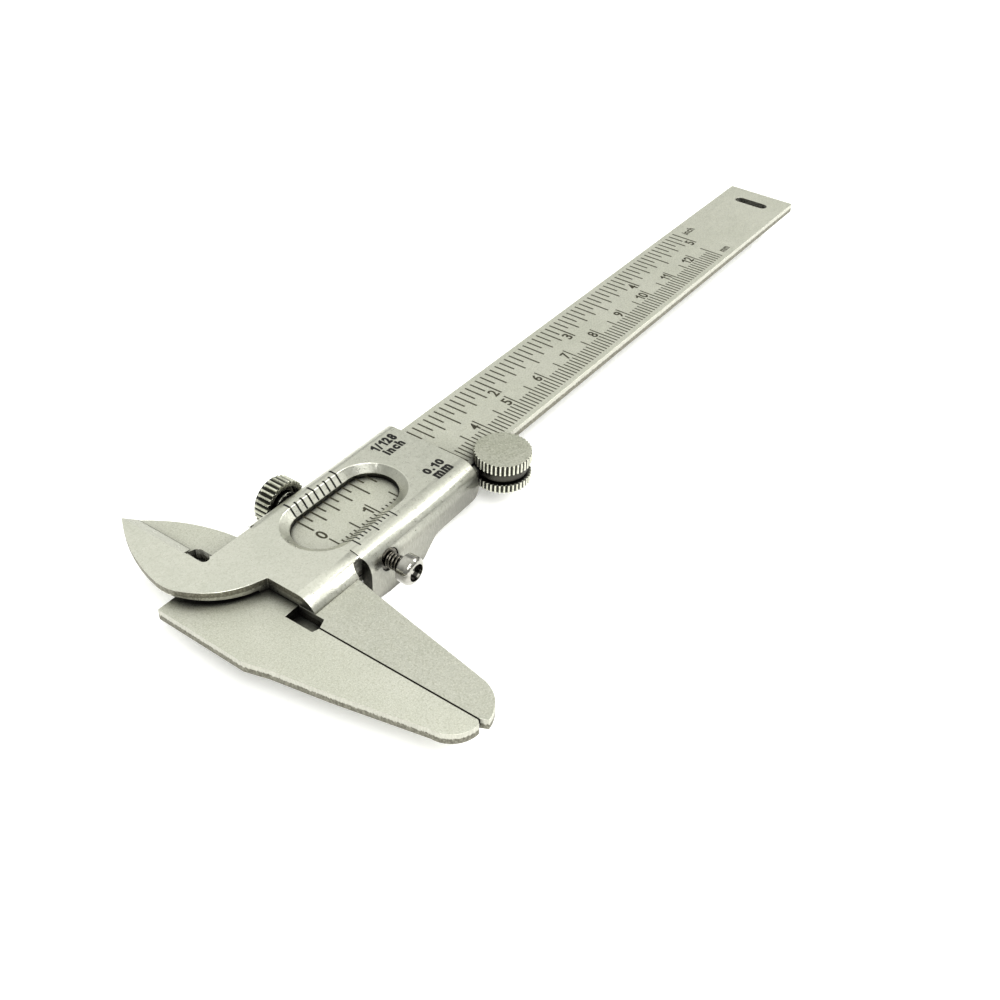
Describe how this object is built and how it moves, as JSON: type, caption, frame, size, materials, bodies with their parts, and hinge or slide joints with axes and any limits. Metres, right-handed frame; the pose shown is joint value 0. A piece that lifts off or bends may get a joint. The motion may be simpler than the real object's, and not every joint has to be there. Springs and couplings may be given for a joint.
{
  "type": "vernier caliper",
  "caption": "Pressed-steel vernier caliper with inside and outside jaws, a windowed slider with lock screw, thumb roller and push button",
  "frame": {"origin": "on the back face of the beam, at the measuring line where the jaws meet, in the middle of the beam's width", "axes": "+X along the beam away from the jaws, the way the slider opens; +Y across the beam towards the inside jaws; +Z out of the graduated face"},
  "size_m": [0.1867, 0.0705, 0.0111],
  "materials": {
    "blasted_steel": "fine bead-blasted, satin nickel plated",
    "satin_steel": "satin nickel plated",
    "bright_steel": "turned and polished",
    "spring_steel": "drawn wire, dark",
    "chrome": "mirror plated",
    "bronze": "plain rolled strip"
  },
  "bodies": {
    "beam": {"beam": "blasted_steel"},
    "slider": {"slider_cover": "satin_steel", "moving_jaw": "blasted_steel", "lower_rail": "satin_steel", "back_plate": "satin_steel", "back_rivets": "bright_steel", "gib_strip": "bronze", "lock_bush": "bright_steel", "roller_bracket": "satin_steel", "button_washer": "bright_steel"},
    "clamp": {"clamp_shoe": "bronze"},
    "lock_screw": {"lock_shank": "bright_steel", "lock_knob": "satin_steel"},
    "roller": {"roller_top_disc": "blasted_steel", "roller_neck": "bright_steel", "roller_bottom_disc": "blasted_steel", "roller_pin": "bright_steel"},
    "button": {"button_head": "chrome", "button_stem": "bright_steel", "button_clip": "spring_steel", "brake_pad": "bronze", "button_spring": "spring_steel"}
  },
  "joints": [
    {"name": "slider_slide", "type": "slide", "parent": "beam", "child": "slider", "axis": [1, 0, 0], "range_m": [0, 0.125]},
    {"name": "roller_spin", "type": "hinge", "parent": "slider", "child": "roller", "pos_m": [0.0502, -0.01128, 0.001], "axis": [0, 0, 1], "continuous": true},
    {"name": "clamp_feed", "type": "slide", "parent": "slider", "child": "clamp", "axis": [0, -1, 0], "range_m": [-0.0005, 0.000208]},
    {"name": "lock_turn", "type": "hinge", "parent": "clamp", "child": "lock_screw", "pos_m": [0.0189, 0.0115, 0.0008], "axis": [0, -1, 0], "range_deg": [-360, 150]},
    {"name": "button_press", "type": "slide", "parent": "slider", "child": "button", "axis": [0, 1, 0], "range_m": [0, 0.00055], "stiffness_N_per_m": 600, "springref_m": -0.0006, "deforming": ["button_spring"]}
  ],
  "couplings": [
    {"joint": "roller_spin", "follows": "slider_slide", "rad_per_m": 312.5},
    {"joint": "lock_turn", "follows": "clamp_feed", "rad_per_m": 12566}
  ]
}
